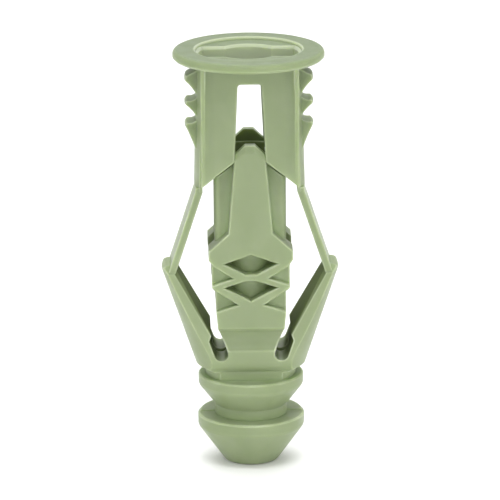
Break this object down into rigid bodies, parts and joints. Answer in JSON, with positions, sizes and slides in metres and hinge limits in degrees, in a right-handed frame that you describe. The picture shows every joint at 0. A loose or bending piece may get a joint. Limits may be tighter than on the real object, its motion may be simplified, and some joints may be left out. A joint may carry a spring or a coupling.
{
  "type": "plastic drywall anchor",
  "caption": "Moulded plastic drywall anchor with a thin round flange, a windowed toothed collar, spread wings on slim struts, ribbed inner jaws and a ringed blunt nose.",
  "frame": {"origin": "centre of the nose's flat end, on the screw's axis", "axes": "+Z along the screw's axis from the nose to the flange, +X across the spread wings, +Y through the jaws"},
  "size_m": [0.0132, 0.0112, 0.0318],
  "materials": {
    "moulded_plastic": "satin moulded polymer in sage green"
  },
  "bodies": {
    "root": {"anchor_body": "moulded_plastic"}
  },
  "joints": []
}
